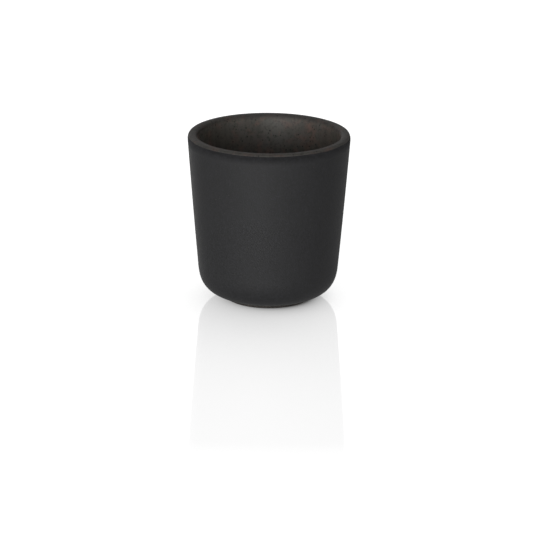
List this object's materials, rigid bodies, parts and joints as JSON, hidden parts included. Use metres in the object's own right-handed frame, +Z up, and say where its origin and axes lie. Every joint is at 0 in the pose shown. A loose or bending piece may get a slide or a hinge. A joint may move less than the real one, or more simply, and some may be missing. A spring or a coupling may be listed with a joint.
{
  "type": "candle jar",
  "caption": "Empty round stoneware candle jar with a gently flared wall, rounded heel, low foot ring, satin dark lining and matt black outside.",
  "frame": {"origin": "the middle of the foot ring's resting face, on the jar's axis", "axes": "+Z up along the jar's axis, from the foot to the open mouth; the jar is round, so +X and +Y are any two directions at right angles to it"},
  "size_m": [0.086, 0.086, 0.09],
  "materials": {
    "bare_stoneware": "matte",
    "satin_lining_glaze": "satin",
    "matt_outer_glaze": "matte"
  },
  "bodies": {
    "root": {"clay_body": "bare_stoneware", "lining_glaze": "satin_lining_glaze", "outer_glaze": "matt_outer_glaze"}
  },
  "joints": []
}
